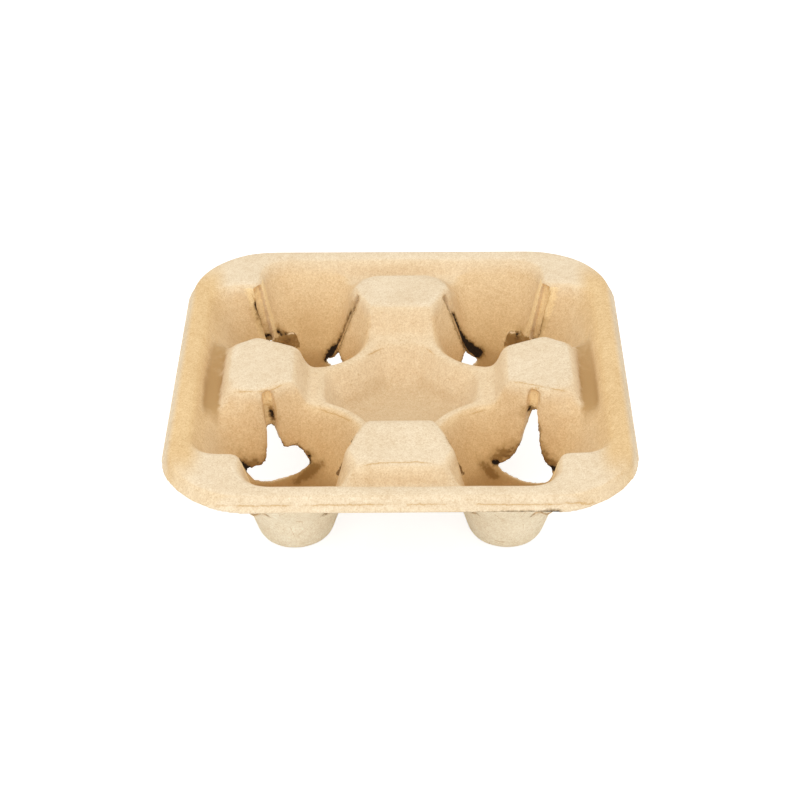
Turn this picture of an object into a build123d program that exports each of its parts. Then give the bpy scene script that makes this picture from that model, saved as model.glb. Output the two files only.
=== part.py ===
from build123d import *
import os
from math import atan2, cos, hypot, radians, sin, sqrt, tan

# Moulded-pulp carrier for four cups: one thin shell pressed in one piece.
# Millimetres. Z is up, the feet stand on Z = 0, and the origin is below the middle of the tray.

# Levels
rim_top = 62.0
skirt_bottom = 54.7
trough_level = 53.7
ridge_level = 49.0
basin_floor = 30.0
join_level = 22.0

# Shell
wall = 2.0

# Rim and skirt
lip_width = 215.0
lip_corner = 42.0
lip_height = 1.6
lip_round = 0.7
lip_stand_out = 1.2
skirt_draft = 12.0
rim_edge = 3.0
rim_inner = 95.7

# Rolled edges, as the height each one takes
roll_drop = 3.6
ridge_roll_drop = 2.6
roll_steps = 4
sharpest = 0.4

# Wells
well_pitch = 98.6
block_reach = 21.6
block_corner = 5.0
channel_corner = 13.0
flank_reach = 26.1
flank_start = 19.0
flank_bulge = 1.1
knee_radius = 35.3
knee_turn = 139.0
knee_ridge_radius = 32.0
ridge_radius = 34.3
join_radius = 21.4
foot_radius = 15.0
foot_edge = 4.5

# Pillars and the troughs behind them
pillar_inner = 50.2
pillar_outer = 81.6
pillar_face_draft = 26.0
pillar_back_draft = 28.0
rim_draft = 25.0
trough_length = 72.0
trough_inset = 0.3
trough_corner = 9.0

# Basin
basin_half = 37.2
basin_arc = 38.6
basin_draft = 28.0
basin_corner = 4.0
basin_edge = 4.0
basin_rise = 0.5

# Grooves down the wells' walls, at the outer corner and beside the pillars
groove_top = 60.0
groove_width = 5.0
groove_depth = 3.2
corner_groove_depth = 4.6
slit_turn = 110.0

# Windows below the side grooves, as (across, height); across counts from the slit
window_bulge = 0.17
window_corner = 1.2
window_shift = 1.2
window_tip_half = 2.4
window_top = 46.7
window_neck = (4.8, 35.0)
window_rim_end = (15.0, 25.2)
window_basin_end = (14.0, 21.3)
window_lowest = (0.0, 14.8)

# The torn window in the front left well: one flap is short, the other is a low tongue
torn_top = 39.4
torn_tongue = (5.3, 27.0)
torn_tongue_end = (19.0, 29.6)
torn_side = (12.8, 21.1)
torn_lowest = (-0.9, 15.9)
torn_flap_end = (-14.4, 22.6)
torn_flap = (-10.1, 30.8)

# Thin slits and half windows towards the front and back pillars
slit_half = 0.5
slit_top = 59.0
half_window_end = (13.3, 18.4)
half_window_shoulder = 8.0
half_window_top = 30.5
half_window_short_top = 25.3
half_window_front_rise = 7.7
half_window_inner = (-7.0, 18.0)
half_window_flap = 31.0
half_window_flap_low = 25.5

# Flaps beside those slits, which lean into the wells
flap_top = 60.5
flap_lean = 24.0
flap_foot = 24.0
flap_back_top = 57.0
flap_back_turn = 131.0

# Opening at each well's outer corner, below the groove
corner_window_top = 28.4
corner_window_low = 26.2
corner_window_half = 8.5
corner_window_round = 0.9

cut_start = 8.0
cut_reach = 36.0
overrun = 3.0
straight_within = 0.01
pitch = well_pitch / 2
slope = {name: tan(radians(angle)) for name, angle in
         dict(skirt=skirt_draft, face=pillar_face_draft, back=pillar_back_draft,
              rim=rim_draft, basin=basin_draft).items()}


def at(z, shape):
    """A flat face moved up to level z."""
    return Pos(0, 0, z) * shape


def frustum(low, high):
    """A straight-sided solid between two flat faces with the same number of edges."""
    return loft([low, high], ruled=True)


def closed(points, middles):
    """A face bounded by lines, or by arcs where a middle point is given."""
    edges = []
    for i, start in enumerate(points):
        end = points[(i + 1) % len(points)]
        if middles.get(i):
            edges.append(ThreePointArc(start, middles[i], end))
        else:
            edges.append(Line(start, end))
    return make_face(Wire(edges))


def halfway(start, end):
    return (start[0] + end[0]) / 2, (start[1] + end[1]) / 2


def on_circle(radius, angle):
    return radius * cos(angle), radius * sin(angle)


def skin():
    """The top plate with its skirt and lip, before anything is pressed into it."""
    def square(half, z):
        corner = lip_corner - (lip_width / 2 - half)
        return at(z, RectangleRounded(2 * half, 2 * half, corner))
    low = lip_width / 2 - lip_stand_out
    high = low - slope["skirt"] * (rim_top - skirt_bottom)
    outside = frustum(square(low, skirt_bottom), square(high, rim_top))
    outside = fillet(outside.edges().group_by(Axis.Z)[-1], rim_edge)
    lip = extrude(square(lip_width / 2, skirt_bottom), lip_height)
    lip = fillet(lip.edges().group_by(Axis.Z)[-1], lip_round)
    inside_low = low - wall + slope["skirt"] * overrun
    inside_high = inside_low - slope["skirt"] * (rim_top - wall - skirt_bottom + overrun)
    inside = frustum(square(inside_low, skirt_bottom - overrun), square(inside_high, rim_top - wall))
    inside = fillet(inside.edges().group_by(Axis.Z)[-1], rim_edge - wall)
    return outside + lip - inside


def mouth_half(grow):
    """Half of a well's outline at the rim, from its outer corner round to its inner arc."""
    reach = rim_inner - pitch + grow
    block = block_reach + grow
    corner = channel_corner + grow
    far = flank_reach + grow
    deep = trough_corner + grow
    round_in = max(block_corner - grow, sharpest)
    knee = on_circle(knee_radius + grow, radians(45 + knee_turn))
    points = [(block, block + round_in), (block, reach - corner), (block - corner, reach),
              (deep - far, reach), (-far, reach - deep), (flank_bulge - far, flank_start + grow / 2), knee]
    turn = 1 - cos(radians(45))
    middles = {1: (block - corner * turn, reach - corner * turn),
               3: (-far + deep * turn, reach - deep * turn)}
    bend = round_in * turn
    return points, middles, (block + bend, block + bend), on_circle(ridge_radius + grow, radians(225))


def mouth(grow):
    """The whole outline of a well at the rim: its corners, and the middle of each side between them."""
    points, middles, outer, inner = mouth_half(grow)
    count = len(points)
    loop = points + [(y, x) for x, y in reversed(points)]
    arcs = {i: halfway(loop[i], loop[(i + 1) % len(loop)]) for i in range(len(loop))}
    arcs.update(middles)
    arcs.update({2 * count - 2 - i: (y, x) for i, (x, y) in middles.items()})
    arcs[count - 1] = inner
    arcs[2 * count - 1] = outer
    return loop, [arcs[i] for i in range(len(loop))]


def join(grow):
    """The circle where a well's wall meets its foot, divided in step with the mouth."""
    loop, arcs = mouth(0.0)
    radius = join_radius + grow
    return [[on_circle(radius, atan2(y, x)) for x, y in side] for side in (loop, arcs)]


def between(low, high, share):
    """The outline a share of the way from low to high."""
    return [[(a[0] + (b[0] - a[0]) * share, a[1] + (b[1] - a[1]) * share) for a, b in zip(one, two)]
            for one, two in zip(low, high)]


def ring(z, grow):
    """A well's outline at level z, where its inner arc keeps the ridge's radius down to the ridge."""
    share = (z - join_level) / (rim_top - join_level)
    loop, arcs = between(join(grow), mouth(grow), share)
    ridge = (ridge_level - join_level) / (rim_top - join_level)
    full = min(1.0, share / ridge)
    arc = join_radius + grow + (ridge_radius - join_radius) * full
    knee = join_radius + grow + (knee_ridge_radius - join_radius) * full
    knee += (knee_radius - knee_ridge_radius) * max(0.0, share - ridge) / (1 - ridge)
    middle = len(loop) // 2 - 1
    loop[middle] = on_circle(knee, radians(45 + knee_turn))
    loop[middle + 1] = on_circle(knee, radians(45 - knee_turn))
    arcs[middle] = on_circle(arc, radians(225))
    return loop, arcs


def well_wall(z):
    """How far out a well's wall stands on the rim's side at level z, before it rolls over."""
    share = (z - join_level) / (rim_top - join_level)
    return pitch + join_radius + (rim_inner - pitch - join_radius) * share


def outline_face(outline, z):
    """A face from corners and side middles: a side is a line where its middle lies on it."""
    loop, arcs = outline
    edges = []
    for i, start in enumerate(loop):
        end = loop[(i + 1) % len(loop)]
        gap = hypot(arcs[i][0] - (start[0] + end[0]) / 2, arcs[i][1] - (start[1] + end[1]) / 2)
        edges.append(ThreePointArc(start, arcs[i], end) if gap > straight_within else Line(start, end))
    return at(z, make_face(Wire(edges)))


def roll_levels(top, drop):
    """The levels of a roll's sections, from drop below the top up to it, closer together near the top."""
    return [top - (1 - i / roll_steps) ** 2 * drop for i in range(roll_steps + 1)]


def rolled_out(z, top, drop, lean):
    """How far a wall that rolls over into the level top has moved outwards at level z."""
    share = min(1.0, (top - z) / drop)
    return (1 - sqrt(share)) ** 2 * drop / cos(lean)


def rolled(ring_at, top, drop, lean):
    """Faces that roll a wall over into the level top, from drop below it up to it."""
    return [ring_at(z, rolled_out(z, top, drop, lean)) for z in roll_levels(top, drop)]


def well(grow):
    """One well: a mouth that closes to a circle, and a tapered foot below it."""
    def ring_at(z, extra):
        return outline_face(ring(z, grow + extra), z)
    lean = atan2(slit_reach() - join_radius, rim_top - join_level)
    faces = [ring_at(join_level, 0.0), ring_at(ridge_level, 0.0)]
    if grow:
        faces.append(ring_at(rim_top, 0.0))
    else:
        faces += rolled(ring_at, rim_top, roll_drop, lean)
        faces.append(at(overrun, faces[-1]))
    shape = loft(faces, ruled=True)
    floor = wall - grow
    taper = (join_radius - foot_radius) / (join_level - wall)
    foot_low = foot_radius + grow - taper * (wall - floor)
    foot = Pos(0, 0, floor) * Cone(foot_low, join_radius + grow, join_level - floor,
                                   align=(Align.CENTER, Align.CENTER, Align.MIN))
    shape += fillet(foot.edges().group_by(Axis.Z)[0], foot_edge + grow)
    if not grow:
        shape += ridge_roll()
    for turn in (0.0, slit_turn, -slit_turn):
        shape += groove(grow, turn)
    return shape


def ridge_roll():
    """The rolled edge of a well along the ridge round the basin."""
    def ring_at(z, extra):
        return outline_face(ring(z, extra), z)
    lean = atan2(ridge_radius - join_radius, ridge_level - join_level)
    faces = rolled(ring_at, ridge_level, ridge_roll_drop, lean)
    half = pillar_inner - slope["face"] * (rim_top - ridge_level)
    inside = at(ridge_level, Pos(-pitch, -pitch) * Rectangle(2 * half, 2 * half))
    return loft(faces, ruled=True) & extrude(inside, 2 * ridge_roll_drop, both=True)


def slit_reach():
    """How far from its axis a well's wall stands at the rim, along a side slit."""
    knee = on_circle(knee_radius, radians(45 + knee_turn))
    run = (flank_bulge - flank_reach - knee[0], flank_start - knee[1])
    way = on_circle(1.0, radians(45 + slit_turn))
    return (knee[0] * run[1] - knee[1] * run[0]) / (way[0] * run[1] - way[1] * run[0])


def groove(grow, turn):
    """A narrow groove down a well's wall, parallel to the wall beside it."""
    corner = (block_reach + block_corner * (1 - cos(radians(45)))) * sqrt(2)
    foot = corner_window_top if turn == 0 else window_neck[1]
    depth = corner_groove_depth if turn == 0 else groove_depth
    lean = ((corner if turn == 0 else slit_reach()) - join_radius) / (rim_top - join_level)
    width = groove_width + 2 * grow

    def slab(z):
        reach = join_radius + depth + grow + lean * (z - join_level)
        return Rot(0, 0, 45 + turn) * Pos(reach / 2, 0, z) * Rectangle(reach, width)
    return frustum(slab(foot - overrun), slab(groove_top + grow / 2))


def wells(grow):
    """Four wells, each with its outer corner towards a corner of the tray."""
    placed = Pos(pitch, pitch, 0) * well(grow)
    return Compound([Rot(0, 0, 90 * i) * placed for i in range(4)])


def middle_pocket(grow):
    """The open middle above the ridges: its four sides are the pillars' inner faces."""
    def ring_at(z, extra):
        half = pillar_inner + grow + extra - slope["face"] * (rim_top - z)
        return at(z, Rectangle(2 * half, 2 * half))
    faces = [ring_at(ridge_level - grow, 0.0)]
    if grow:
        faces.append(ring_at(rim_top, 0.0))
    else:
        faces += rolled(ring_at, rim_top, roll_drop, radians(pillar_face_draft))
        faces.append(at(overrun, faces[-1]))
    return loft(faces, ruled=True)


def basin(grow):
    """The dish in the middle: necks at its four sides and arcs round the four wells between them."""
    def outline(drop):
        inset = slope["basin"] * drop - grow
        square = Rectangle(2 * (basin_half - inset), 2 * (basin_half - inset))
        for x, y in ((1, 1), (1, -1), (-1, 1), (-1, -1)):
            square -= Pos(x * pitch, y * pitch) * Circle(basin_arc + inset)
        return fillet(square.vertices(), basin_corner)
    depth = ridge_level - basin_floor
    low = outline(depth + grow)
    high = outline(-basin_rise)
    dish = frustum(at(basin_floor - grow, low), at(ridge_level + basin_rise, high))
    return fillet(dish.edges().group_by(Axis.Z)[0], basin_edge + grow)


def trough(grow):
    """The slot between one pillar's back and the rim, on the side towards +X, open into a well at each end."""
    def ring_at(z):
        back_roll = rim_roll = 0.0
        if not grow:
            back_roll = rolled_out(z, rim_top, roll_drop, radians(pillar_back_draft))
            rim_roll = rolled_out(z, rim_top, roll_drop, radians(rim_draft))
        near = pillar_outer + slope["back"] * (rim_top - z) - grow - back_roll
        far = rim_inner - slope["rim"] * (rim_top - z) + grow + rim_roll
        end = well_wall(z) - trough_inset + grow + rim_roll
        half = trough_length / 2
        return at(z, closed([(near, -half), (end, -half), (end, half), (near, half)], {1: (far, 0)}))
    levels = [trough_level - grow]
    if grow:
        levels.append(rim_top)
    else:
        levels += roll_levels(rim_top, roll_drop)
    faces = [ring_at(z) for z in levels]
    if not grow:
        faces.append(at(overrun, faces[-1]))
    return loft(faces, ruled=True)


def pressed(grow):
    """Everything that is pressed into the tray, or with grow, its outside one wall further out."""
    shape = middle_pocket(grow) + basin(grow)
    for i in range(4):
        shape += Rot(0, 0, 90 * i) * trough(grow)
    for one in wells(grow):
        shape += one
    return shape


def cutter(face, turn):
    """A cutter for the first well, from a face whose x runs across and whose y is the height."""
    return Rot(0, 0, 45 + turn) * extrude(Plane.YZ * Pos(0, 0, cut_start) * face, cut_reach)


def bulged(start, end):
    """The middle of an arc between two points that bulges to the left of the way from start to end."""
    dx, dy = end[0] - start[0], end[1] - start[1]
    x, y = halfway(start, end)
    return x - dy * window_bulge, y + dx * window_bulge


def faced(rim_side, points, middles):
    """A window's face, drawn with the rim on its positive side and turned over where the rim is not."""
    return closed([(rim_side * x, z) for x, z in points],
                  {i: (rim_side * x, z) for i, (x, z) in middles.items()})


def bell(rim_side):
    """A slit that opens downwards into a window shaped like a bell."""
    tip, neck, rim_end = window_tip_half, window_neck, window_rim_end
    basin_end = (-window_basin_end[0], window_basin_end[1])
    points = [(tip, window_top), neck, rim_end, basin_end, (-neck[0], neck[1]), (-tip, window_top)]
    middles = {1: bulged(rim_end, neck), 2: window_lowest,
               3: bulged(points[4], basin_end), 5: (0, window_top + tip)}
    face = faced(rim_side, points, middles)
    ends = face.vertices().sort_by(Axis.X)
    return Pos(rim_side * window_shift, 0) * fillet([ends[0], ends[-1]], window_corner)


def torn_bell(rim_side):
    """The same slit where one flap beside it is torn short and the other hangs lower."""
    tip, neck = window_tip_half, window_neck[0]
    points = [(tip, torn_top), torn_tongue, torn_tongue_end, torn_side, torn_flap_end, torn_flap,
              (-neck, torn_flap[1]), (-tip, torn_top)]
    middles = {1: bulged(torn_tongue_end, torn_tongue), 3: torn_lowest,
               4: bulged(torn_flap_end, torn_flap), 7: (0, torn_top + tip)}
    return faced(rim_side, points, middles)


def half_bell(rim_side, top, rise):
    """A thin slit above half a bell, which is wider on the side towards the rim."""
    shoulder = (half_window_shoulder, top + rise)
    end = (half_window_end[0], half_window_end[1] + rise)
    inner, low = half_window_inner
    points = [(-slit_half, slit_top), (slit_half, slit_top), (slit_half, top + rise), shoulder, end,
              (inner, low + rise), (inner, half_window_flap_low + rise), (-slit_half, half_window_flap + rise)]
    return faced(rim_side, points, {3: bulged(end, shoulder), 4: bulged(end, points[5])})


def on_wall(radius_low, radius_high, z):
    """A wall's distance from its well's axis at level z, from those at the foot and at the rim."""
    share = (z - join_level) / (rim_top - join_level)
    return radius_low + (radius_high - radius_low) * share


def flap(side, behind):
    """The flap on a pillar's side of a slit, or with behind, the space between it and the wall it left."""
    def section(z):
        knee = on_circle(on_wall(join_radius, knee_radius, z) + (wall if behind else wall / 2),
                         radians(45 + side * (flap_back_turn if behind else knee_turn)))
        edge = slit_reach() - tan(radians(flap_lean)) * (flap_top - z) + (wall if behind else 0.0)
        back = on_wall(join_radius, slit_reach(), z) + (2 * wall if behind else wall / 2)
        way = radians(45 + side * slit_turn)
        return at(z, closed([knee, on_circle(edge, way), on_circle(back, way)], {}))
    if behind:
        return frustum(section(flap_foot - overrun), section(flap_back_top))
    return frustum(section(flap_foot), section(flap_top - sharpest))


def corner_window():
    """The short window below the groove in a well's outer corner."""
    height = corner_window_top - corner_window_low
    window = RectangleRounded(2 * corner_window_half, height, corner_window_round)
    return Pos(0, corner_window_low + height / 2) * window


def openings():
    """All cutters, each placed at its well; the wells count round from the back right one."""
    shapes = []
    for i in range(4):
        place = Rot(0, 0, 90 * i) * Pos(pitch, pitch, 0)
        in_front = i > 1
        for side in (1, -1):
            if (i % 2 == 0) != (side < 0):
                top = half_window_short_top if i == 1 else half_window_top
                face = half_bell(-side, top, half_window_front_rise if in_front else 0.0)
            elif i == 2:
                face = torn_bell(-side)
            else:
                face = bell(-side)
            shapes.append(place * cutter(face, side * slit_turn))
        shapes.append(place * cutter(corner_window(), 0))
    return shapes


def flaps(behind):
    """The four flaps that lean off the front and back pillars, placed at their wells."""
    return [Rot(0, 0, 90 * i) * Pos(pitch, pitch, 0) * flap(1 if i % 2 == 0 else -1, behind) for i in range(4)]


def main():
    shell = skin() + pressed(wall) - pressed(0.0)
    pocket = middle_pocket(0.0)
    for one in flaps(False):
        shell += one - pocket
    for one in flaps(True):
        shell -= one
    for one in openings():
        shell -= one
    return shell


cup_carrier = main()
os.makedirs("parts", exist_ok=True)
export_step(cup_carrier, "parts/cup_carrier.step")
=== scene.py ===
from math import atan2, cos, radians, sin

import bmesh
import bpy
import numpy as np
from bpy.props import FloatProperty, FloatVectorProperty, IntProperty, PointerProperty
from mathutils import Matrix, Vector, noise
from mathutils.bvhtree import BVHTree
from mathutils.kdtree import KDTree


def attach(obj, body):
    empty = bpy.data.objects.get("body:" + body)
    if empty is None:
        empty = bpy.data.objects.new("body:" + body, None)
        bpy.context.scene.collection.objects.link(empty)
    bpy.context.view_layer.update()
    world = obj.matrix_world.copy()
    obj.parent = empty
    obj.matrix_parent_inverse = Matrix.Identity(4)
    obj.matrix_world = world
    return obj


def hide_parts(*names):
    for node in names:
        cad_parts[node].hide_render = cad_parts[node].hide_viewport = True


bl_info = {
    "name": "Moulded pulp cup carrier",
    "version": (1, 0, 0),
    "blender": (4, 5, 0),
    "location": "View3D > Sidebar > Carrier",
    "description": "Dresses a four-cup carrier of moulded pulp: soft edges, torn slits, mottled fibre",
    "category": "Object",
}

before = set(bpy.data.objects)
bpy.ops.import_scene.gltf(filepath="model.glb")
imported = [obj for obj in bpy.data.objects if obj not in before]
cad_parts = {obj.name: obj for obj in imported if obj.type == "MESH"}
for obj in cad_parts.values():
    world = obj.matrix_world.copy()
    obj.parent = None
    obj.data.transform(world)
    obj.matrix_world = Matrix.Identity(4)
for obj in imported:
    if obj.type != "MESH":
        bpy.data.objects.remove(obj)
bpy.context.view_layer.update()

MM = 0.001
NODE = "cup_carrier"

# The tray's layout, as in the part. Each of the four wells narrows from its mouth down and has three cuts: one
# that faces the tray's corner, a groove over a low window, and a slit over a window to either side of it
PITCH = 0.0493               # from the middle to a well's axis, along x and along y
MOUTH_HEIGHT = 60.5 * MM
MOUTH_RADIUS = 30.75 * MM
WELL_TAPER = 0.242           # radius lost for each length of depth
SLIT_TURN = radians(110)     # from the corner's cut round to either slit

# The plates that close the back wells' corner windows, fanned out round each well's axis. They are painted
# shade: sheets painted dark brown in place of the shade under the tray seen through those windows
PLATE_COUNT = 13
PLATE_SPAN = radians(30)     # to either side of the corner
PLATE_RADIUS = 0.0241
PLATE_HEIGHT = 0.0277
PLATE_LEAN = radians(13.6)
PLATE_SIZE = (0.0013, 0.0028, 0.0075)

# The sheet's free edges are found with rays. One that starts just under the surface and leaves again within the
# sheet's limit has only crossed the sheet
RAY_START = 0.35 * MM
RAY_LENGTH = 12 * MM
SHEET_LIMIT = 4.4 * MM

# The noise in the shape, as features to a metre
BROAD_LUMPS, SMALL_LUMPS = 70.0, 260.0
BROAD_TEARS, SMALL_TEARS = 420.0, 1100.0
TEAR_SEED = 7                # without it the torn edges would be others in each run

# How far from the cracks, the gashes with their painted shadow and the stains with their painted shade, a
# point's distance is still worked out
CRACK_REACH, GASH_SHADOW_REACH, STAIN_AND_SHADE_REACH = 4 * MM, 4 * MM, 6 * MM
CRACK_END = 3 * MM           # length over which a crack fades out at its ends
OUTSIDE_TURN = -0.2          # a point that turns to its well's axis less than this is on the well's outside

# Wear and painted shade, as points in millimetres: x to the right, y to the back, z up. First the thin cracks
CRACKS = (
    ((-78, -22.5, 61), (-64.5, -22.5, 61), (-58.5, -20.5, 61), (-55, -16, 61)),
    ((52, -15, 61), (60.5, -18, 61), (68.5, -21.5, 61), (78, -22.5, 61)),
    ((-17, -80.8, 61), (-9, -79.2, 61), (-1, -80.4, 61), (8, -79.0, 61), (17, -80.3, 61)),
    ((-82, -105, 57.5), (-40, -105.5, 58), (5, -105.5, 58.5), (50, -105.5, 58), (86, -104.5, 58)),
    ((-39, -18, 47.5), (-31, -21.5, 47), (-22.5, -28.5, 47.5)),
    ((41, -19, 47.5), (32, -22, 47)),
    ((-17, 27, 48), (-8, 36, 46.5)),
    ((11, 35.5, 47), (18.5, 25.5, 48)),
    ((-64.4, -22.3, 60), (-64.1, -24, 54.5), (-63.5, -26, 46)),
    ((-61.1, -20.8, 60), (-58.9, -21.8, 52), (-58, -23, 46)),
    ((-64, -23, 53.8), (-61.9, -20.6, 51.7), (-59.7, -21.5, 51)),
    ((59.5, -21.5, 51.9), (60, -20.6, 56.3), (61.4, -20.9, 60.2), (63.3, -21.3, 60.7),
     (64.8, -23.2, 58.9), (65.2, -24.9, 53.3)),
    ((58.2, -23, 48.4), (60.3, -21.3, 50.5), (62.5, -21.2, 50.2)),
    ((-76, 70, 59), (-73.5, 69, 51), (-70.5, 68, 42), (-69, 68, 34)),
    ((76, 71, 60), (73, 68.5, 49), (69.5, 66, 36)),
)
# Gashes sunk into the sheet, painted near black as painted shadow in place of the dark seen through the slits
# and behind the flaps; each point with its half width there
GASH_SHADOWS = (
    ((-25.5, 64.2, 50, 0.1), (-29, 66.5, 39, 0.3), (-33, 67.5, 29, 0.6), (-36.5, 67.5, 23.5, 1.9),
     (-38.5, 68, 18.5, 1.4)),
    ((25.5, 64.6, 49, 0.3), (27.5, 65.5, 44.5, 1.0), (29.5, 66.5, 39, 1.2), (32.5, 67.5, 30.5, 1.9),
     (36, 68, 25, 2.4), (39.5, 68.2, 22, 2.4)),
    ((-74, 69, 52.5, 0.5), (-73, 68.8, 49.5, 1.2), (-71.5, 68, 45, 0.5)),
    ((-69.5, 70, 32, 1.0), (-67.5, 70.5, 31.5, 0.6)),
    ((-63.5, 72, 33.5, 0.7), (-61.5, 72.3, 28, 1.5)),
    ((-60.5, 73.5, 35, 0.3), (-58.5, 72, 27.5, 0.7)),
    ((59.5, 72.5, 33.5, 0.5), (60, 72.5, 27, 1.7)),
    ((70, 66, 36, 0.6), (69, 68, 32, 1.1)),
    ((-61, -21, 48.5, 0.8), (-60, -21.5, 45, 0.6)),
    ((59.5, -21.5, 48.5, 0.5), (61.5, -20.8, 50, 0.6)),
    ((-76, -37.5, 32, 0.6), (-71.5, -37.5, 27, 1.5)),
    ((44.5, -28, 23.5, 1.3), (47, -28, 22, 0.8)),
    ((72.5, -39, 28, 1.5), (69, -36, 26, 0.8)),
    ((-43.6, -26.5, 27, 0.5), (-43.8, -27.5, 23.5, 0.8)),
    ((64, -107, 55, 0.5), (69, -107, 55.3, 0.7)),
)
# Soft brown marks, each point with the mark's half width there: some are fibre torn in layers or worn, and some
# are painted shade, in the creases low in the front wells, round the back corner windows and along the back
# slits
STAINS_AND_SHADE = (
    ((-50, -30, 14, 1.6), (-45.8, -29.7, 17.5, 2.4), (-40.9, -29.8, 21.7, 2.4), (-36.9, -30.4, 24.5, 0.6)),
    ((44.7, -30.2, 16.9, 1.8), (41, -30, 20.5, 2.3), (37.4, -29.9, 25, 0.6)),
    ((-77, -36.5, 31, 1.2), (-71, -35.5, 28.2, 2.4), (-65.5, -33, 26.8, 1.6)),
    ((43.5, -27, 24.5, 1.6), (49, -26, 27, 2.4), (54, -25, 31, 0.8)),
    ((66.5, -31, 34, 0.6), (68.5, -34.5, 28.5, 2.0), (71.5, -36.5, 28.5, 2.0)),
    ((-43.8, -26.5, 27.8, 0.6), (-42.8, -27.2, 24, 1.2)),
    ((-61.5, -20.8, 51, 0.3), (-60.6, -21, 47.5, 1.4), (-60, -21.5, 45, 1.2)),
    ((58.2, -22.8, 49, 0.5), (60.5, -21.2, 50.3, 0.3)),
    ((-74, 69, 51, 0.6), (-72, 68, 45, 1.4), (-70, 68, 37, 0.8), (-69, 69, 31.5, 1.6)),
    ((-62.8, 72, 33.5, 1.2), (-60.5, 72.5, 28, 1.8)),
    ((60, 72.5, 32, 0.8), (60, 72.5, 27.5, 2.0)),
    ((71.5, 67, 42, 0.4), (69.5, 67, 33.5, 1.4)),
    ((-23.5, 64.3, 54, 0.1), (-29, 66.5, 39, 0.8), (-33.5, 67.5, 28, 1.4), (-38, 68, 19.5, 2.2)),
    ((26.5, 64.8, 47, 0.3), (31, 67, 34.5, 1.4), (36, 68, 25.5, 2.8), (41, 68.5, 21.5, 2.2)),
    ((-79, -40, 45, 0.0), (-74, -36, 37, 0.6)),
)

# The studio, in metres
FLOOR_REACH = 4.0
FLOOR_GLOW = 0.78            # the floor's own light to the camera, which leaves room for the shadow
LAMP_SIZE = 1.2
LAMP_AIM = (0.0, 0.0, 0.03)
HIGH_LAMP_PLACE = (-0.3, -0.5, 1.5)
FRONT_LAMP_PLACE = (0.1, -1.5, 0.6)
SENSOR_WIDTH = 36.0          # millimetres

COLOUR = {"subtype": "COLOR", "min": 0.0, "max": 1.0}
SHARE = {"subtype": "FACTOR", "min": 0.0, "max": 1.0}


# ---------------------------------------------------------------- settings

class CarrierForm(bpy.types.PropertyGroup):
    voxel: FloatProperty(name="Voxel", description="Size of the grid that the shell is rebuilt on",
                         default=0.75 * MM, min=0.4 * MM, unit="LENGTH")
    soften: IntProperty(name="Softening passes", description="How far the pressed edges round over",
                        default=30, min=0)
    blend: IntProperty(name="Blending passes", description="How far the dish and the trough ends are blended in",
                       default=70, min=0)
    keep_edge: FloatProperty(name="Kept edge", description="Share of the softening that a free edge takes",
                             default=0.12, **SHARE)
    edge_band: FloatProperty(name="Edge band", description="Width of the band along a free edge that stays firm",
                             default=4.0 * MM, unit="LENGTH")
    tear: FloatProperty(name="Tear", description="How far a torn edge wanders",
                        default=0.9 * MM, unit="LENGTH")
    lumps: FloatProperty(name="Lumps", description="Height of the unevenness of the pressed pulp",
                         default=0.22 * MM, unit="LENGTH")
    warp: FloatProperty(name="Warp", description="How far the pillars are pressed out of true",
                        default=1.0 * MM, unit="LENGTH")
    gash_depth: FloatProperty(name="Gash depth", description="How deep the dark gashes are sunk",
                              default=0.9 * MM, unit="LENGTH")
    triangles: IntProperty(name="Triangles", description="Number of triangles that the shell ends with",
                           default=185000, min=20000, max=199000)


class PulpFinish(bpy.types.PropertyGroup):
    # Painted light: the tops take a paler, greyer colour and the steep walls a warmer tan, as the light falls on
    # them
    pressed: FloatVectorProperty(name="Pressed tops", description="Colour of the rim's and the pillars' tops",
                                 default=(0.82, 0.665, 0.46), **COLOUR)
    wall: FloatVectorProperty(name="Walls", description="Colour of the steep walls and the dish",
                              default=(0.81, 0.63, 0.405), **COLOUR)
    # The wells' colour, as laid on their inner walls, is painted shade
    well: FloatVectorProperty(name="Wells", description="Colour of the wells' inner walls",
                              default=(0.78, 0.53, 0.25), **COLOUR)
    # Painted light: the grooves' colour is brighter than the walls, making up for the shade inside the grooves
    groove: FloatVectorProperty(name="Grooves", description="Colour of the grooves' floors",
                                default=(0.97, 0.74, 0.40), **COLOUR)
    # Painted light: the outside colour is paler, making up for the shadow under the rim on the wells' outer
    # walls
    outside: FloatVectorProperty(name="Outside", description="Colour of the wells' outer walls",
                                 default=(0.95, 0.83, 0.62), **COLOUR)
    fibre: FloatVectorProperty(name="Fibre", description="Colour of the coarse brown fibres",
                               default=(0.47, 0.28, 0.10), **COLOUR)
    # Partly torn brown fibre and partly painted shade that keeps the slits' cut faces dark
    torn: FloatVectorProperty(name="Torn edge", description="Colour of the torn edges of the slits",
                              default=(0.20, 0.105, 0.03), **COLOUR)
    # Partly worn brown fibre and partly painted shade: in the creases low in the front wells, round the back
    # corner windows and along the back slits
    stain: FloatVectorProperty(name="Stains", description="Colour of the worn brown places",
                               default=(0.27, 0.14, 0.035), **COLOUR)
    # Painted shade: the colour laid on the trough floors for the shade in those narrow troughs
    trough_shade: FloatVectorProperty(name="Grime", description="Colour of the dull trough floors",
                               default=(0.50, 0.31, 0.13), **COLOUR)
    crack: FloatVectorProperty(name="Cracks", description="Colour of the thin cracks",
                               default=(0.58, 0.34, 0.11), **COLOUR)
    # Painted shadow: the near-black colour inside the gashes
    gash: FloatVectorProperty(name="Gashes", description="Colour inside the deep gashes",
                              default=(0.022, 0.012, 0.005), **COLOUR)
    roughness: FloatProperty(name="Roughness", description="Roughness of the pulp", default=0.92, **SHARE)


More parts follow.
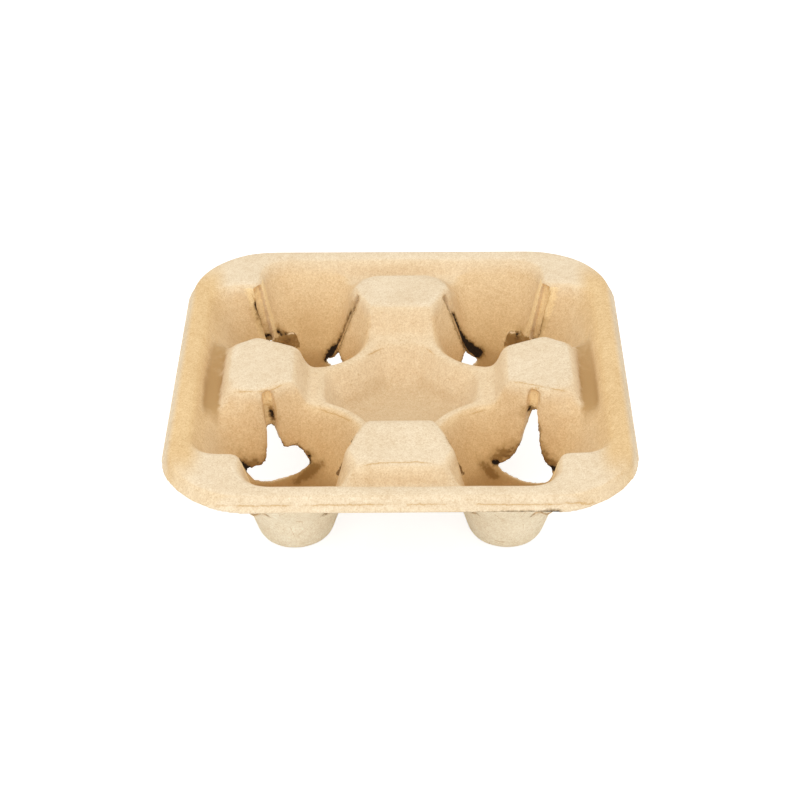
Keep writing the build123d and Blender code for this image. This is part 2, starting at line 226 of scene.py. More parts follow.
class StudioSettings(bpy.types.PropertyGroup):
    sky: FloatProperty(name="Sky", description="Strength of the white surroundings", default=0.83, min=0.0)
    high_lamp: FloatProperty(name="High lamp", description="Power of the large lamp overhead",
                             default=5.6, min=0.0)
    front_lamp: FloatProperty(name="Front lamp", description="Power of the large lamp low in front",
                              default=4.6, min=0.0)
    floor: FloatVectorProperty(name="Floor", description="Colour of the floor",
                               default=(0.86, 0.86, 0.86), **COLOUR)
    distance: FloatProperty(name="Camera distance", description="From the point aimed at to the camera",
                            default=0.99653, unit="LENGTH")
    lift: FloatProperty(name="Camera lift", description="Angle of the view above the floor",
                        default=radians(34.80), subtype="ANGLE")
    swing: FloatProperty(name="Camera swing", description="Angle of the view round the tray",
                         default=0.0111, subtype="ANGLE")
    roll: FloatProperty(name="Camera roll", description="Tilt of the picture",
                        default=-0.0101, subtype="ANGLE")
    focus: FloatVectorProperty(name="Aim", description="Point that the camera looks at",
                               subtype="TRANSLATION", default=(-0.000735, 0.021751, 0.025))
    lens: FloatProperty(name="Lens", description="Focal length in millimetres, on a 36 mm sensor",
                        default=90.63, min=1.0)


# ---------------------------------------------------------------- shader maths

class Shade:
    """One output of a node. Arithmetic on it adds Math nodes, also with a plain number on either side."""

    def __init__(self, finish, socket):
        self.finish = finish
        self.socket = socket

    def _math(self, operation, *terms):
        return self.finish.node("ShaderNodeMath", {"operation": operation}, dict(enumerate(terms)))

    def __add__(self, other):
        return self._math("ADD", self, other)

    def __radd__(self, other):
        return self._math("ADD", other, self)

    def __sub__(self, other):
        return self._math("SUBTRACT", self, other)

    def __rsub__(self, other):
        return self._math("SUBTRACT", other, self)

    def __mul__(self, other):
        return self._math("MULTIPLY", self, other)

    def __rmul__(self, other):
        return self._math("MULTIPLY", other, self)

    def __abs__(self):
        return self._math("ABSOLUTE", self)

    def greater(self, other):
        """The greater of the two."""
        return self._math("MAXIMUM", self, other)

    def spread(self, width):
        """Noise from 0 to 1 moved to lie about 0, with the width from its lowest to its highest."""
        return (self - 0.5) * width

    def ramp(self, low, high):
        """Runs smoothly from 0 at low to 1 at high; low may be the greater of the two."""
        turned = low > high
        first, last = (high, low) if turned else (low, high)
        step = self.finish.node("ShaderNodeMapRange", {"interpolation_type": "SMOOTHSTEP"},
                                {"Value": self, "From Min": first, "From Max": last})
        return 1 - step if turned else step


class Finish:
    """The nodes of a material or of the world, made one by one."""

    def __init__(self, tree):
        self.tree = tree
        self.tree.nodes.clear()

    def node(self, kind, settings=None, inputs=None, output=0):
        """Makes a node with its settings, feeds its inputs by links or values, and gives one of its outputs."""
        made = self.tree.nodes.new(kind)
        for key, value in (settings or {}).items():
            setattr(made, key, value)
        for key, value in (inputs or {}).items():
            socket = made.inputs[key]
            if isinstance(value, Shade):
                self.tree.links.new(value.socket, socket)
            elif socket.type == "RGBA":
                socket.default_value = (*tuple(value)[:3], 1.0)
            else:
                socket.default_value = value
        return Shade(self, made.outputs[output]) if made.outputs else None

    def mix(self, share, first, second, blend="MIX"):
        """Colours mixed by a share of the second one."""
        return self.node("ShaderNodeMix", {"data_type": "RGBA", "blend_type": blend},
                         {0: share, 6: first, 7: second}, output=2)

    def grain(self, place, scale, detail=2.0, roughness=0.5):
        """Noise from 0 to 1 with features about 1/scale metres wide."""
        return self.node("ShaderNodeTexNoise", {"noise_dimensions": "3D"},
                         {"Vector": place, "Scale": scale, "Detail": detail, "Roughness": roughness})

    def seams(self, place, scale, width):
        """Thin lines, 1 on the line, between cells about 1/scale metres wide."""
        gap = self.node("ShaderNodeTexVoronoi", {"feature": "DISTANCE_TO_EDGE"},
                        {"Vector": place, "Scale": scale})
        return gap.ramp(width, 0.0)

    def axes(self, place):
        """The three coordinates of a place."""
        split = self.node("ShaderNodeSeparateXYZ", {}, {0: place})
        return [Shade(self, part) for part in split.socket.node.outputs]

    def attribute(self, name):
        return self.node("ShaderNodeAttribute", {"attribute_name": name}, output="Fac")

    def background_rays(self):
        """1 for the rays that show the background: the camera's, and those seen in gloss and through glass."""
        camera, glossy, through = (self.node("ShaderNodeLightPath", output=f"Is {kind} Ray")
                                   for kind in ("Camera", "Glossy", "Transmission"))
        return camera.greater(glossy).greater(through)


# ---------------------------------------------------------------- meshes

def merged_copy(node, name):
    """A copy of a solid's mesh with its loose triangles joined."""
    bm = bmesh.new()
    bm.from_mesh(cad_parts[node].data)
    bmesh.ops.remove_doubles(bm, verts=bm.verts, dist=0.002 * MM)
    mesh = bpy.data.meshes.new(name)
    bm.to_mesh(mesh)
    bm.free()
    made = bpy.data.objects.new(name, mesh)
    bpy.context.scene.collection.objects.link(made)
    return made


def apply_modifiers(piece):
    """Puts the piece's modifiers into its mesh."""
    graph = bpy.context.evaluated_depsgraph_get()
    mesh = bpy.data.meshes.new_from_object(piece.evaluated_get(graph))
    piece.modifiers.clear()
    old = piece.data
    piece.data = mesh
    bpy.data.meshes.remove(old)


def read_surface(mesh):
    """The vertices' places and the ways they face."""
    both = []
    for collection, name in ((mesh.vertices, "co"), (mesh.vertex_normals, "vector")):
        values = np.empty(len(collection) * 3, np.float32)
        collection.foreach_get(name, values)
        both.append(values.reshape(-1, 3))
    return both


def move_points(mesh, points):
    mesh.vertices.foreach_set("co", points.astype(np.float32).ravel())
    mesh.update()


def set_value(mesh, name, values):
    """Keeps one number for each vertex, for the finish to read."""
    if name not in mesh.attributes:
        mesh.attributes.new(name, "FLOAT", "POINT")
    mesh.attributes[name].data.foreach_set("value", values.astype(np.float32))


def get_value(mesh, name):
    values = np.empty(len(mesh.vertices), np.float32)
    mesh.attributes[name].data.foreach_get("value", values)
    return values


def relax(piece, weights, passes):
    """Smooths the piece's mesh, each vertex by its own weight."""
    levels = 50
    group = piece.vertex_groups.new(name="soft")
    steps = np.clip(np.round(weights * levels), 0, levels).astype(int)
    for step in np.unique(steps):
        group.add(np.nonzero(steps == step)[0].tolist(), step / levels, "REPLACE")
    smooth = piece.modifiers.new("soften", "SMOOTH")
    smooth.factor = 0.5
    smooth.iterations = passes
    smooth.vertex_group = group.name
    apply_modifiers(piece)
    piece.vertex_groups.clear()


def smoothstep(x, low, high):
    """Runs smoothly from 0 at low to 1 at high; low may be the greater of the two."""
    t = np.clip((x - low) / (high - low), 0, 1)
    return t * t * (3 - 2 * t)


def place_share(*steps):
    """1 where every step is past its end; a step is its values in metres, then start and end in millimetres."""
    share = 1.0
    for values, low, high in steps:
        share = share * smoothstep(values, low * MM, high * MM)
    return share


# ---------------------------------------------------------------- slits and windows

def cut_frames(points):
    """For each cut of the wells: how far the points are out along it and off to its side, whether it faces the
    tray's corner, the way it faces, and whether its well is at the back."""
    for sx, sy in ((1, 1), (-1, 1), (-1, -1), (1, -1)):
        for turn in (0.0, SLIT_TURN, -SLIT_TURN):
            angle = atan2(sy, sx) + turn
            x, y = points[:, 0] - PITCH * sx, points[:, 1] - PITCH * sy
            along = x * cos(angle) + y * sin(angle)
            across = y * cos(angle) - x * sin(angle)
            yield along, np.abs(across), turn == 0.0, (cos(angle), sin(angle)), sy > 0


def opening_zone(points):
    """Which points lie where a slit or window is cut, and the way each of those faces."""
    window_top, groove_half, window_half = 30.5 * MM, 2.4 * MM, 10.5 * MM
    slit_heights = [16 * MM, 24 * MM, 38 * MM, 60 * MM]
    slit_halves = [22 * MM, 22 * MM, 6.5 * MM, 4.5 * MM]
    zone = np.zeros(len(points), bool)
    way = np.zeros((len(points), 3), np.float32)
    z = points[:, 2]
    for along, across, corner, faces, _ in cut_frames(points):
        if corner:
            half = np.where(z > window_top, groove_half, window_half)
        else:
            half = np.interp(z, slit_heights, slit_halves)
        here = (along > 8 * MM) & (along < 40 * MM) & (across < half) & (z > 12 * MM) & (z < MOUTH_HEIGHT)
        zone |= here
        way[here] = (*faces, 0.0)
    return zone, way


def free_vertices(mesh, points, facing):
    """Vertices on a free edge of the sheet: those of the slits and windows, then those of the lip.

    A vertex on one side of the sheet has the other side straight behind it. A vertex on a cut edge hasn't, but
    has both sides close by, one each way along the way that the cut faces."""
    lip_top, lip_inside, aslant = 57 * MM, 0.104, 0.6
    tree = BVHTree.FromPolygons([tuple(p) for p in points], [tuple(f.vertices) for f in mesh.polygons])
    zone, way = opening_zone(points)
    lip = (points[:, 2] < lip_top) & (np.abs(points[:, :2]).max(1) > lip_inside)
    cut, rim = [], []
    for i in np.nonzero(zone | lip)[0]:
        inward = Vector(-facing[i])
        start = Vector(points[i]) + inward * RAY_START
        behind = tree.ray_cast(start, inward, RAY_LENGTH)
        if behind[0] is not None and behind[3] < SHEET_LIMIT:
            continue
        if lip[i]:
            rim.append(i)
            continue
        side = Vector(way[i])
        if abs(inward.dot(side)) > aslant:
            continue
        beside = [tree.ray_cast(start, side * sign, RAY_LENGTH) for sign in (1, -1)]
        if all(hit[0] is not None for hit in beside) and sum(hit[3] for hit in beside) < SHEET_LIMIT:
            cut.append(i)
    return cut, rim


def nearness(points, marked, reach):
    """1 on the marked points, falling to 0 at reach from them."""
    tree = KDTree(len(marked))
    for k, i in enumerate(marked):
        tree.insert(Vector(points[i]), k)
    tree.balance()
    gaps = np.array([tree.find(Vector(p))[2] for p in points], np.float32)
    return np.clip(1 - gaps / reach, 0, 1)


def well_turn(points, facing):
    """How far each point faces its well's axis: 1 straight at it, -1 straight away, 0 outside the wells."""
    axis = np.sign(points[:, :2]) * PITCH
    way = points[:, :2] - axis
    far = np.maximum(np.linalg.norm(way, axis=1), MM)
    turn = -(way * facing[:, :2]).sum(1) / far
    return np.where(far < 46 * MM, turn, 0.0)


def recess_floors(points, facing):
    """1 on the floors of the grooves, and which points are on the plates behind the corner windows."""
    groove, plate = np.zeros(len(points)), np.zeros(len(points), bool)
    z = points[:, 2]
    wall = MOUTH_RADIUS - WELL_TAPER * (MOUTH_HEIGHT - z)
    for along, across, corner, way, back in cut_frames(points):
        inward = -(facing[:, 0] * way[0] + facing[:, 1] * way[1])
        deep = smoothstep(along - wall, 0.8 * MM, 1.6 * MM) * (along < 38 * MM) * (inward > 0.5)
        groove = np.maximum(groove, deep * (across < 6 * MM) * (z > 31 * MM) * (z < 60 * MM))
        if corner and back:
            radius = np.hypot(along, across)
            plate |= ((radius > wall + 0.35 * MM) & (radius < 27 * MM) & (along > 0) & (across < 14 * MM)
                      & (inward > 0.3) & (z > 23.8 * MM) & (z < 31.5 * MM))
    return groove, plate


def corner_windows(points, turn):
    """Which points lie round the low corner windows, and which of them are outside those with a plate."""
    narrow, sealed = np.zeros(len(points), bool), np.zeros(len(points), bool)
    z = points[:, 2]
    for along, across, corner, _, back in cut_frames(points):
        if corner:
            here = (along > 8 * MM) & (across < 14 * MM) & (z > 21 * MM) & (z < 33 * MM)
            narrow |= here
            if back:
                sealed |= here & (turn < 0.2)
    return narrow, sealed


def add_shade_plates(piece):
    """Closes the back wells' corner windows from behind, so that they read as brown recesses: the plates are
    painted shade, dark brown in place of the shade under the tray seen through the windows.
    """
    size = Matrix.Diagonal((*PLATE_SIZE, 1.0))
    bm = bmesh.new()
    bm.from_mesh(piece.data)
    for sx in (1, -1):
        for turn in np.linspace(-PLATE_SPAN, PLATE_SPAN, PLATE_COUNT):
            angle = atan2(1, sx) + turn
            place = Matrix.Translation((PITCH * sx + PLATE_RADIUS * cos(angle),
                                        PITCH + PLATE_RADIUS * sin(angle), PLATE_HEIGHT))
            turned = Matrix.Rotation(angle, 4, "Z") @ Matrix.Rotation(PLATE_LEAN, 4, "Y")
            bmesh.ops.create_cube(bm, size=1.0, matrix=place @ turned @ size)
    bm.to_mesh(piece.data)
    bm.free()


# ---------------------------------------------------------------- the soft form

def blended_places(points):
    """1 where one form runs softly into the next: the dish and its necks, the trough ends, the block corners."""
    x, y, z = np.abs(points[:, 0]), np.abs(points[:, 1]), points[:, 2]
    far, near = np.maximum(x, y), np.minimum(x, y)
    dish = place_share((np.hypot(x, y), 50, 40), (z, 52, 48))
    end = place_share((near, 22, 27), (near, 46, 38), (far, 80, 84), (z, 60.5, 57), (z, 36, 42))
    neck = place_share((near, 26, 20), (far, 38, 41), (far, 52, 48), (z, 58, 54))
    corner = place_share((near, 13, 17), (near, 30, 26), (far, 70, 76), (far, 92, 88), (z, 52, 56))
    return np.maximum.reduce([dish, end, neck, corner])


def warped(points, amount):
    """The pillars' outer corners are pressed off, and the front pillar reaches further to the middle."""
    corner_across, corner_out, corner_size = 23 * MM, 80 * MM, 6 * MM
    moved = points.copy()
    x, y, z = points.T
    for across, out, i, k in ((x, y, 0, 1), (y, x, 1, 0)):
        near = np.exp(-(((np.abs(across) - corner_across) / corner_size) ** 2
                        + ((np.abs(out) - corner_out) / corner_size) ** 2))
        near *= place_share((z, 49, 57))
        moved[:, i] -= np.sign(across) * near * 2.2 * amount
        moved[:, k] -= np.sign(out) * near * 1.8 * amount
        moved[:, 2] -= near * 0.9 * amount
    front = place_share((np.abs(x), 27, 20), (y, -72, -56), (y, -38, -46), (z, 46, 56))
    moved[:, 1] += front * 3.2 * amount
    moved[:, 2] += front * 0.8 * amount
    return moved


def soft_sheet(settings):
    """The solid's mesh rebuilt on a fine grid, rounded where it was pressed and firm along its free edges."""
    piece = merged_copy(NODE, "pulp_shell")
    add_shade_plates(piece)
    grid = piece.modifiers.new("rebuild", "REMESH")
    grid.mode = "VOXEL"
    grid.voxel_size = settings.voxel
    apply_modifiers(piece)

    mesh = piece.data
    points, facing = read_surface(mesh)
    cut, rim = free_vertices(mesh, points, facing)
    near_cut, near_rim = (nearness(points, edge, settings.edge_band) for edge in (cut, rim))
    firm = smoothstep(np.maximum(near_cut, near_rim), 0.0, 0.6)
    set_value(mesh, "torn", near_cut)
    move_points(mesh, warped(points, settings.warp))
    relax(piece, 1 - (1 - settings.keep_edge) * firm, settings.soften)
    relax(piece, blended_places(read_surface(piece.data)[0]) * (1 - firm), settings.blend)

    thin = piece.modifiers.new("thin", "DECIMATE")
    thin.decimate_type = "COLLAPSE"
    thin.ratio = settings.triangles / (2.0 * len(piece.data.polygons))
    apply_modifiers(piece)
    return piece


# ---------------------------------------------------------------- the wear and the painted shade

def unevenness(points, facing, height):
    """The points raised and sunk in low lumps, along the ways they face."""
    rise = np.array([0.7 * noise.noise(Vector(p) * BROAD_LUMPS) + 0.3 * noise.noise(Vector(p) * SMALL_LUMPS)
                     for p in points])
    return points + facing * (rise * height)[:, None]


def torn_edges(points, near, amount):
    """The points beside a torn edge made to wander, so that the edge is ragged."""
    noise.seed_set(TEAR_SEED)
    moved = points.copy()
    for i in np.nonzero(near > 0.02)[0]:
        q = Vector(points[i])
        push = noise.noise_vector(q * BROAD_TEARS) * 0.6 + noise.noise_vector(q * SMALL_TEARS) * 0.5
        moved[i] += np.array(push) * (amount * near[i])
    return moved


def segments(line):
    """The line's stretches in metres, each as start, run and the two end widths, if it has widths."""
    for start, end in zip(line, line[1:]):
        a, b = np.array(start) * MM, np.array(end) * MM
        yield a[:3], (b - a)[:3], a[3:], b[3:]


def crack_gaps(points, facing, lines, reach):
    """How far each point is from the nearest crack, with opposite signs on its two sides, and where it shows."""
    gaps, shown = np.full(len(points), reach), np.zeros(len(points))
    for line in lines:
        stretches = list(segments(line))
        for k, (start, run, _, _) in enumerate(stretches):
            length = np.linalg.norm(run)
            share = (points - start) @ run / length ** 2
            off = points - start - np.clip(share, 0, 1)[:, None] * run
            side = np.cross(run / length, facing)
            gap = (off * side).sum(1) / np.maximum(np.linalg.norm(side, axis=1), 0.3)
            lift = np.abs((off * facing).sum(1))
            fade = smoothstep(np.abs(gap), reach * 0.8, reach * 0.3)
            if k == 0:
                fade *= smoothstep(share * length, 0.0, CRACK_END)
            if k == len(stretches) - 1:
                fade *= smoothstep((1 - share) * length, 0.0, CRACK_END)
            slack = MM / length
            here = (share > -slack) & (share < 1 + slack) & (lift < 3 * MM) & (np.abs(gap) < np.abs(gaps))
            gaps[here] = gap[here]
            shown[here] = fade[here]
    return gaps, shown


def mark_gaps(points, lines, reach):
    """How far each point is outside the nearest gash or stain; less than 0 inside it."""
    gaps = np.full(len(points), reach)
    for line in lines:
        for start, run, first, last in segments(line):
            share = np.clip((points - start) @ run / (run @ run), 0, 1)
            off = np.linalg.norm(points - start - share[:, None] * run, axis=1)
            gaps = np.minimum(gaps, off - first[0] - (last[0] - first[0]) * share)
    return gaps


def add_wear(mesh, settings):
    """Keeps what the finish needs to know of each place, then sinks the gashes and roughens the surface."""
    points, facing = read_surface(mesh)
    height = points[:, 2]
    turn = well_turn(points, facing)
    outside = turn < OUTSIDE_TURN
    narrow, sealed = corner_windows(points, turn)
    groove, plate = recess_floors(points, facing)

    close = get_value(mesh, "torn") * place_share((height, 19, 25))
    close[sealed] = 0.0
    torn = smoothstep(close, 0.45, 1.0)
    # painted shadow: how far each point is outside the nearest of the gashes
    gash = mark_gaps(points, GASH_SHADOWS, GASH_SHADOW_REACH)
    gash[outside] = GASH_SHADOW_REACH
    stain = mark_gaps(points, STAINS_AND_SHADE, STAIN_AND_SHADE_REACH)
    # painted shade: the plates behind the back corner windows take the full dark brown
    stain[plate] = np.minimum(stain[plate], -MM)
    stain[outside] = STAIN_AND_SHADE_REACH
    crack, cracked = crack_gaps(points, facing, CRACKS, CRACK_REACH)
    known = {
        "torn": torn,
        # painted light: how far each point faces up, for the paler tops
        "level": smoothstep(facing[:, 2], 0.75, 0.985),
        "cup": smoothstep(turn, 0.15, 0.7),
        "outer": smoothstep(turn, -0.15, -0.6) * smoothstep(facing[:, 2], 0.15, -0.05),
        "groove": groove,
        "crack": crack,
        "cracked": cracked,
        "gash": gash,
        "away": (1 - close) * settings.edge_band,
        "stain": stain,
    }
    for name, values in known.items():
        set_value(mesh, name, values)

    sunk = smoothstep(gash, 0.6 * MM, -0.8 * MM) * settings.gash_depth
    points = unevenness(points - facing * sunk[:, None], facing, settings.lumps)
    points = torn_edges(points, torn * np.where(narrow, 0.1, 1.0), settings.tear)
    points[:, 2] = np.clip(points[:, 2], 0.0, None)
    move_points(mesh, points)


# ---------------------------------------------------------------- the pulp's finish

class PulpCoats(Finish):
    """The pulp's colour, laid on in coats. The values that several coats read are made first."""

    def __init__(self, tree, colours):
        super().__init__(tree)
        self.colours = colours
        self.place = self.node("ShaderNodeTexCoord", output="Object")
        self.x, self.y, self.z = self.axes(self.place)
        self.cloud = self.grain(self.place, 45.0, 3.0, 0.6)
        self.mottle = self.grain(self.place, 260.0, 4.0, 0.62)
        self.fine = self.grain(self.place, 1500.0, 2.0, 0.6)
        self.rag = self.grain(self.place, 520.0, 3.0, 0.6)
        self.cup = self.attribute("cup") * self.z.ramp(60.5 * MM, 54 * MM)
        self.deep = self.z.ramp(56 * MM, 18 * MM)
        self.outer = self.attribute("outer")

        # Painted light: the tops facing up and the outer skirt are painted paler and greyer than the steep
        # walls, as the light falls on them
        skirt = abs(self.x).greater(abs(self.y)).ramp(102 * MM, 104.5 * MM)
        painted_top_light = (self.attribute("level") * self.z.ramp(56.5 * MM, 60.5 * MM)).greater(skirt)
        self.colour = self.mix((painted_top_light * 0.95 + self.cloud.spread(0.4)).ramp(0.0, 1.0),
                               colours.wall, colours.pressed)

    def coat(self, share, colour, strength=None):
        """Lays a colour over what is there, by a share that varies and a strength that doesn't."""
        self.colour = self.mix(share if strength is None else share * strength, self.colour, colour)

    def zones(self):
        """The wells, browner and darker towards their bottoms as painted shade; their outsides paler, as painted
        light against the shadow under the rim; the grooves lighter, as painted light in their shade; and the
        rim, browner along the left and right sides.
        """
        # Painted shade: the wells' inner walls turn browner and darker towards their bottoms
        self.coat(self.cup * (0.42 + 0.58 * self.deep), self.colours.well)
        # Painted light: the wells' outer walls are painted paler against the shadow under the rim
        self.coat(self.outer * (0.85 + self.cloud.spread(0.3)), self.colours.outside)
        # Painted light: the grooves' floors are lightened against their own shade
        self.coat(self.attribute("groove"), self.colours.groove, strength=0.75)
        x, y = abs(self.x), abs(self.y)
        side = x.ramp(86 * MM, 96 * MM) * y.ramp(100 * MM, 70 * MM) * x.ramp(106 * MM, 102 * MM)
        self.coat(side, self.colours.well, strength=0.85)

    def mottling(self):
        """Light and dark grain at four scales, strongest in blue and weakest in red."""
        pepper = self.grain(self.place, 700.0, 2.0, 0.6)
        shade = self.mottle.spread(0.30) + self.cloud.spread(0.24) + pepper.spread(0.34) + self.fine.spread(0.70)
        light = self.node("ShaderNodeCombineColor", {"mode": "RGB"},
                          {0: 1 + shade * 0.7, 1: 1 + shade, 2: 1 + shade * 1.4})
        self.colour = self.mix(1.0, self.colour, light, "MULTIPLY")

    def fibres(self):
        """Short brown fibres and specks, more brown on the dish's floor, and painted shade deep in the wells,
        browner towards their bottoms.
        """
        speck = self.grain(self.place, 900.0, 1.0, 0.5).ramp(0.68, 0.76)
        patch = self.grain(self.place, 70.0, 2.0, 0.5).ramp(0.42, 0.62)
        self.coat(speck * patch, self.colours.fibre, strength=0.35)
        dish = (self.z.ramp(40 * MM, 32 * MM) * abs(self.x).ramp(32 * MM, 22 * MM)
                * abs(self.y).ramp(32 * MM, 22 * MM))
        self.coat(dish * (0.10 + 0.35 * self.cloud), self.colours.fibre)
        # Painted shade: browner still deeper in the wells and near their bottoms
        self.coat(self.cup * self.deep * (0.04 + 0.25 * self.mottle), self.colours.fibre)
        low = self.z.ramp(27 * MM, 13 * MM) * self.cup.ramp(0.0, 0.6)
        self.coat(low * (0.60 + self.mottle.spread(0.5)), self.colours.fibre)

    def painted_trough_shade(self):
        """Painted shade on the floors of the troughs behind the left and right pillars, more so towards the
        front.
        """
        away = abs(self.x) + self.mottle.spread(4 * MM) + self.cloud.spread(5 * MM)
        trough = (away.ramp(82.5 * MM, 87 * MM) * away.ramp(96.5 * MM, 90.5 * MM)
                  * abs(self.y).ramp(38 * MM, 22 * MM))
        # Painted shade on the trough floors, darker towards the front
        shaded = trough * self.z.ramp(59.5 * MM, 54.5 * MM) * (0.72 + 0.28 * self.y.ramp(20 * MM, -20 * MM))
        patchy = 1.08 + 0.8 * (self.cloud - 0.45) + self.mottle.spread(1.1)
        self.coat((shaded * patchy).ramp(0.0, 1.0), self.colours.trough_shade)

    def cracks(self):
        """Hair cracks all over the outside, then the thin cracks at their places, which are given back."""
        hair = self.seams(self.place, 75.0, 0.012) * self.grain(self.place, 120.0, 1.0).ramp(0.52, 0.62)
        self.coat(hair * self.outer, self.colours.crack, strength=0.8)
        wander = (self.grain(self.place, 330.0, 2.0).spread(1.4 * MM)
                  + self.grain(self.place, 1400.0, 1.0).spread(0.6 * MM))
        gap = abs(self.attribute("crack") + wander)
        broken = self.grain(self.place, 110.0, 1.0).ramp(0.28, 0.50) * self.attribute("cracked")
        line = gap.ramp(0.40 * MM, 0.08 * MM) * broken
        self.coat(line, self.colours.crack, strength=0.58)
        self.coat(gap.ramp(1.4 * MM, 0.2 * MM) * broken, self.colours.crack, strength=0.16)
        return line

    def torn_fibre(self):
        """Browned fibre along the slits and in the stains and painted shade marks, with layers, lips and the
        torn edge itself. The lips' dark line is painted shade in a crease, and the torn edge's dark brown is
        partly torn fibre and partly painted shade that keeps the slits' cut faces dark. The last three are given
        back."""
        band = self.attribute("away")
        away = band + self.rag.spread(1.2 * MM) + self.mottle.spread(2.2 * MM)
        stain = self.attribute("stain") + self.mottle.spread(3.4 * MM) + self.rag.spread(2.4 * MM)
        self.coat(away.ramp(3.4 * MM, 0.2 * MM), self.colours.fibre, strength=0.60)
        # Stains, partly worn fibre and partly painted shade
        self.coat(stain.ramp(4.5 * MM, 0.2 * MM), self.colours.fibre, strength=0.50)
        self.coat(stain.ramp(1.2 * MM, -1.2 * MM), self.colours.stain, strength=0.85)
        flat = self.node("ShaderNodeVectorMath", {"operation": "MULTIPLY"},
                         {0: self.place, 1: (220.0, 220.0, 900.0)})
        sheets = self.grain(flat, 1.0, 2.0, 0.6).ramp(0.50, 0.60)
        layers = stain.ramp(1.4 * MM, -0.6 * MM) * sheets * band.ramp(4 * MM, 2.8 * MM)
        self.coat(layers, self.colours.torn, strength=0.65)
        # Painted shade: a dark line in the crease a little in from each cut edge, also sunk by the bump
        lips = (abs(away - 1.4 * MM).ramp(0.32 * MM, 0.04 * MM)
                * self.grain(self.place, 170.0, 1.0).ramp(0.40, 0.55))
        self.coat(lips, self.colours.torn, strength=0.60)
        # The torn edge's dark brown is partly torn fibre and partly painted shade that keeps the slits' cut
        # faces dark
        edge = (self.attribute("torn") + self.rag.spread(0.7)).ramp(0.38, 0.90)
        self.coat(edge, self.colours.torn, strength=0.8)
        return layers, lips, edge

    def gash_shadows(self):
        """The gashes, painted near black as painted shadow, with a brown edge round them."""
        gap = self.attribute("gash") + self.rag.spread(1.6 * MM) + self.mottle.spread(1.2 * MM)
        self.coat(gap.ramp(1.2 * MM, 0.2 * MM), self.colours.torn, strength=0.6)
        self.coat(gap.ramp(0.3 * MM, -0.3 * MM), self.colours.gash)


def new_finish(name, kind=Finish, *settings):
    """A material with its nodes ready to be made."""
    material = bpy.data.materials.new(name)
    material.use_nodes = True
    return material, kind(material.node_tree, *settings)


def pulp_material(colours):
    material, pulp = new_finish("pulp", PulpCoats, colours)
    pulp.zones()
    pulp.mottling()
    pulp.fibres()
    pulp.painted_trough_shade()
    line = pulp.cracks()
    layers, lips, edge = pulp.torn_fibre()
    pulp.gash_shadows()

    height = (pulp.mottle * 0.5 + pulp.fine * 0.35 + edge * pulp.rag * 0.8 + layers * 0.7
              - line * 0.4 - lips * 0.5)
    bump = pulp.node("ShaderNodeBump", {}, {"Strength": 0.55, "Distance": 0.35 * MM, "Height": height})
    shader = pulp.node("ShaderNodeBsdfPrincipled", {},
                       {"Base Color": pulp.colour, "Roughness": colours.roughness,
                        "Specular IOR Level": 0.25, "Normal": bump})
    pulp.node("ShaderNodeOutputMaterial", {}, {"Surface": shader})
    return material


# ---------------------------------------------------------------- the studio

def ground_material(colour):
    """Plain ground that reads as white to the camera and keeps a faint shadow."""
    material, ground = new_finish("ground")
    diffuse = ground.node("ShaderNodeBsdfDiffuse", {}, {"Color": colour})
    faint = ground.node("ShaderNodeBsdfDiffuse", {}, {"Color": (0.5, 0.5, 0.5)})
    glow = ground.node("ShaderNodeEmission", {}, {"Color": (1.0, 1.0, 1.0), "Strength": FLOOR_GLOW})
    lit = ground.node("ShaderNodeAddShader", {}, {0: faint, 1: glow})
    shown = ground.node("ShaderNodeMixShader", {}, {0: ground.background_rays(), 1: diffuse, 2: lit})
    ground.node("ShaderNodeOutputMaterial", {}, {"Surface": shown})
    return material


def make_floor(colour):
    bm = bmesh.new()
    bmesh.ops.create_grid(bm, x_segments=1, y_segments=1, size=FLOOR_REACH)
    mesh = bpy.data.meshes.new("floor")
    bm.to_mesh(mesh)
    bm.free()
    mesh.materials.append(ground_material(colour))
    floor = bpy.data.objects.new("floor", mesh)
    bpy.context.scene.collection.objects.link(floor)
    return floor


def make_world(strength):
    """Soft white light from all round, with a white background."""
    world = bpy.data.worlds.new("studio")
    world.use_nodes = True
    sky = Finish(world.node_tree)
    light = sky.node("ShaderNodeBackground", {}, {"Color": (1.0, 0.995, 0.985), "Strength": strength})
    white = sky.node("ShaderNodeBackground", {}, {"Color": (1.0, 1.0, 1.0), "Strength": 1.0})
    shown = sky.node("ShaderNodeMixShader", {}, {0: sky.background_rays(), 1: light, 2: white})
    sky.node("ShaderNodeOutputWorld", {}, {"Surface": shown})
    bpy.context.scene.world = world


def make_lamp(name, place, power):
    """A large round lamp, aimed at the tray."""
    data = bpy.data.lights.new(name, "AREA")
    data.shape = "DISK"
    data.size = LAMP_SIZE
    data.energy = power
    lamp = bpy.data.objects.new(name, data)
    lamp.location = place
    lamp.rotation_euler = (Vector(LAMP_AIM) - Vector(place)).to_track_quat("-Z", "Y").to_euler()
    bpy.context.scene.collection.objects.link(lamp)


def make_camera(studio):
    """A camera that looks at the aim from its distance, lift and swing, with the picture rolled a little."""
    swing, lift, roll = studio.swing, studio.lift, studio.roll
    back = Vector((sin(swing) * cos(lift), -cos(swing) * cos(lift), sin(lift)))
    right = (-back).cross(Vector((0, 0, 1))).normalized()
    up = right.cross(-back)
    turned_right = right * cos(roll) + up * sin(roll)
    turned_up = up * cos(roll) - right * sin(roll)
    data = bpy.data.cameras.new("camera")
    data.lens = studio.lens
    data.sensor_width = SENSOR_WIDTH
    data.clip_start, data.clip_end = 0.02, 20.0
    camera = bpy.data.objects.new("camera", data)
    camera.rotation_mode = "QUATERNION"
    camera.rotation_quaternion = Matrix((turned_right, turned_up, back)).transposed().to_quaternion()
    camera.location = Vector(studio.focus) + back * studio.distance
    bpy.context.scene.collection.objects.link(camera)
    bpy.context.scene.camera = camera


# ---------------------------------------------------------------- operators and panel

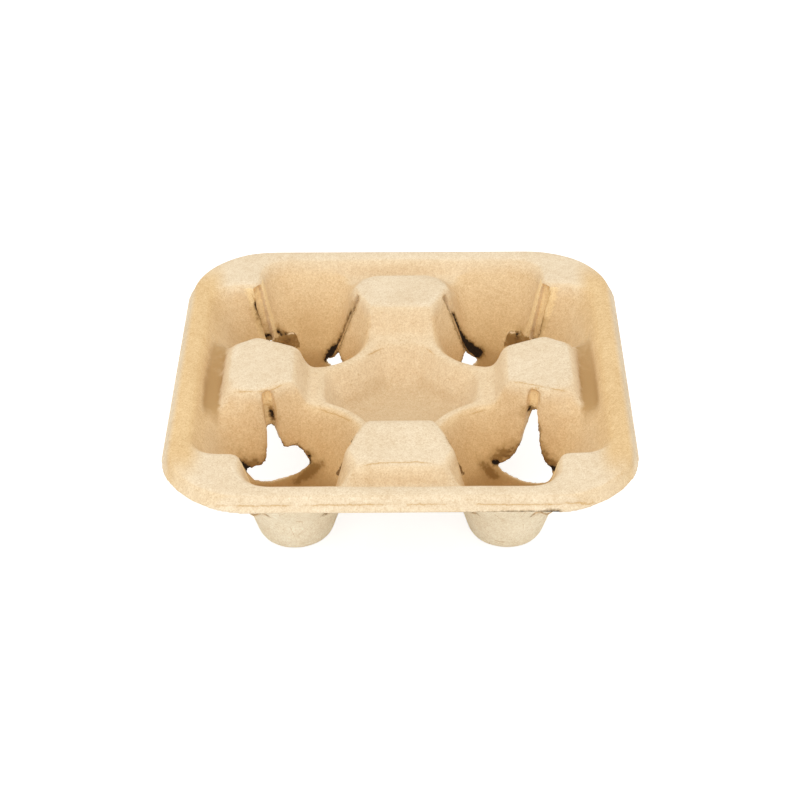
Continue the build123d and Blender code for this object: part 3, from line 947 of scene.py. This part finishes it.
class CARRIER_OT_shell(bpy.types.Operator):
    """Makes the pulp shell over the solid and gives it its finish"""
    bl_idname = "carrier.shell"
    bl_label = "Pulp shell"

    def execute(self, context):
        scene = context.scene
        piece = soft_sheet(scene.carrier_form)
        add_wear(piece.data, scene.carrier_form)
        for face in piece.data.polygons:
            face.use_smooth = True
        piece.data.materials.append(pulp_material(scene.pulp_finish))
        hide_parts(NODE)
        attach(piece, "root")
        return {"FINISHED"}


class CARRIER_OT_studio(bpy.types.Operator):
    """Sets up the floor, the soft light and the camera"""
    bl_idname = "carrier.studio"
    bl_label = "Studio"

    def execute(self, context):
        scene = context.scene
        studio = scene.carrier_studio
        make_floor(studio.floor)
        make_world(studio.sky)
        make_lamp("high", HIGH_LAMP_PLACE, studio.high_lamp)
        make_lamp("front", FRONT_LAMP_PLACE, studio.front_lamp)
        make_camera(studio)
        scene.view_settings.view_transform = "Standard"
        return {"FINISHED"}


class CARRIER_PT_panel(bpy.types.Panel):
    """Lists the settings and what the add-on makes"""
    bl_idname = "CARRIER_PT_panel"
    bl_label = "Cup carrier"
    bl_space_type = "VIEW_3D"
    bl_region_type = "UI"
    bl_category = "Carrier"

    def draw(self, context):
        for name in GROUPS:
            group = getattr(context.scene, name)
            box = self.layout.box()
            for key in group.bl_rna.properties.keys():
                if key not in ("rna_type", "name"):
                    box.prop(group, key)
        for operator in OPERATORS:
            self.layout.operator(operator.bl_idname)


GROUPS = {"carrier_form": CarrierForm, "pulp_finish": PulpFinish, "carrier_studio": StudioSettings}
OPERATORS = (CARRIER_OT_shell, CARRIER_OT_studio)
CLASSES = (*GROUPS.values(), *OPERATORS, CARRIER_PT_panel)


def register():
    for one in CLASSES:
        bpy.utils.register_class(one)
    for name, group in GROUPS.items():
        setattr(bpy.types.Scene, name, PointerProperty(type=group))


def unregister():
    for name in GROUPS:
        delattr(bpy.types.Scene, name)
    for one in reversed(CLASSES):
        bpy.utils.unregister_class(one)


def main():
    register()
    bpy.ops.carrier.shell()
    bpy.ops.carrier.studio()


if __name__ == "__main__":
    main()
